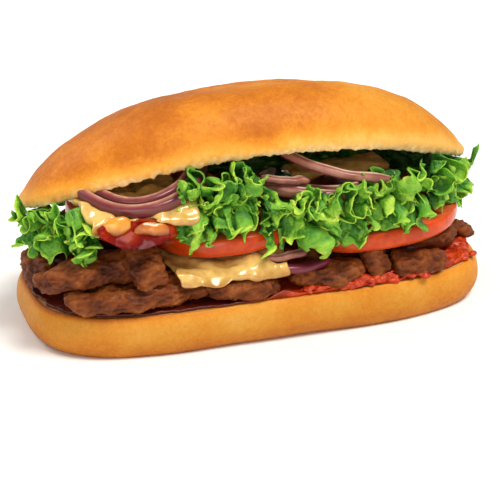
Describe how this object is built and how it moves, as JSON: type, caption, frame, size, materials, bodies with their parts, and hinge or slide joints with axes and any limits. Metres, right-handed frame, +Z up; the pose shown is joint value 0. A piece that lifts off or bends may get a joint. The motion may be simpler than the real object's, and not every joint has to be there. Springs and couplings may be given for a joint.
{
  "type": "steak sandwich",
  "caption": "Long soft roll cut right through, filled with steak strips, tomato sauce, melted cheese, tomato slices, red onion and curly lettuce that frills out of its open side",
  "frame": {"origin": "middle of the flat base of the lower half of the roll, which the sandwich stands on", "axes": "+X along the roll, -Y out of its open side, +Z up out of the crown"},
  "size_m": [0.2035, 0.1014, 0.0958],
  "materials": {
    "crust": "matt baked crust, golden brown, with pale crumb at the cut edge",
    "sauce": "wet, glossy, chunky tomato sauce",
    "steak": "seared and moist, coarse grained, brown",
    "cheese": "melted, smooth and slightly glossy",
    "tomato": "wet cut flesh with a smooth glossy skin at the rim",
    "onion": "translucent, moist, with a thin purple skin",
    "sauced_onion": "translucent and wet with red sauce",
    "lettuce": "thin and crisp, curly, with a satin surface"
  },
  "bodies": {
    "root": {"bun_bottom": "crust", "bun_top": "crust", "cheese_back": "cheese", "cheese_drop_left": "cheese", "cheese_drop_right": "cheese", "cheese_lower": "cheese", "cheese_upper": "cheese", "lettuce_back_left": "lettuce", "lettuce_back_middle": "lettuce", "lettuce_back_right": "lettuce", "lettuce_left_1": "lettuce", "lettuce_left_2": "lettuce", "lettuce_mid_left_1": "lettuce", "lettuce_mid_left_2": "lettuce", "lettuce_mid_right_1": "lettuce", "lettuce_mid_right_2": "lettuce", "lettuce_right_1": "lettuce", "lettuce_right_2": "lettuce", "lettuce_right_end_1": "lettuce", "lettuce_right_end_2": "lettuce", "onion_back": "onion", "onion_band_right": "onion", "onion_low_purple": "onion", "onion_low_white": "onion", "onion_petal": "sauced_onion", "onion_ring_left": "onion", "onion_strip_inner": "onion", "onion_strip_right": "onion", "sauce": "sauce", "steak_back_centre": "steak", "steak_back_high": "steak", "steak_back_left": "steak", "steak_back_right": "steak", "steak_core_left": "steak", "steak_core_right": "steak", "steak_end_left": "steak", "steak_fold_left": "steak", "steak_fold_right": "steak", "steak_front_centre": "steak", "steak_front_left_high": "steak", "steak_front_left_low": "steak", "steak_front_right": "steak", "steak_middle": "steak", "steak_right_high": "steak", "steak_tip_right": "steak", "tomato_left": "tomato", "tomato_middle": "tomato", "tomato_right": "tomato"}
  },
  "joints": []
}
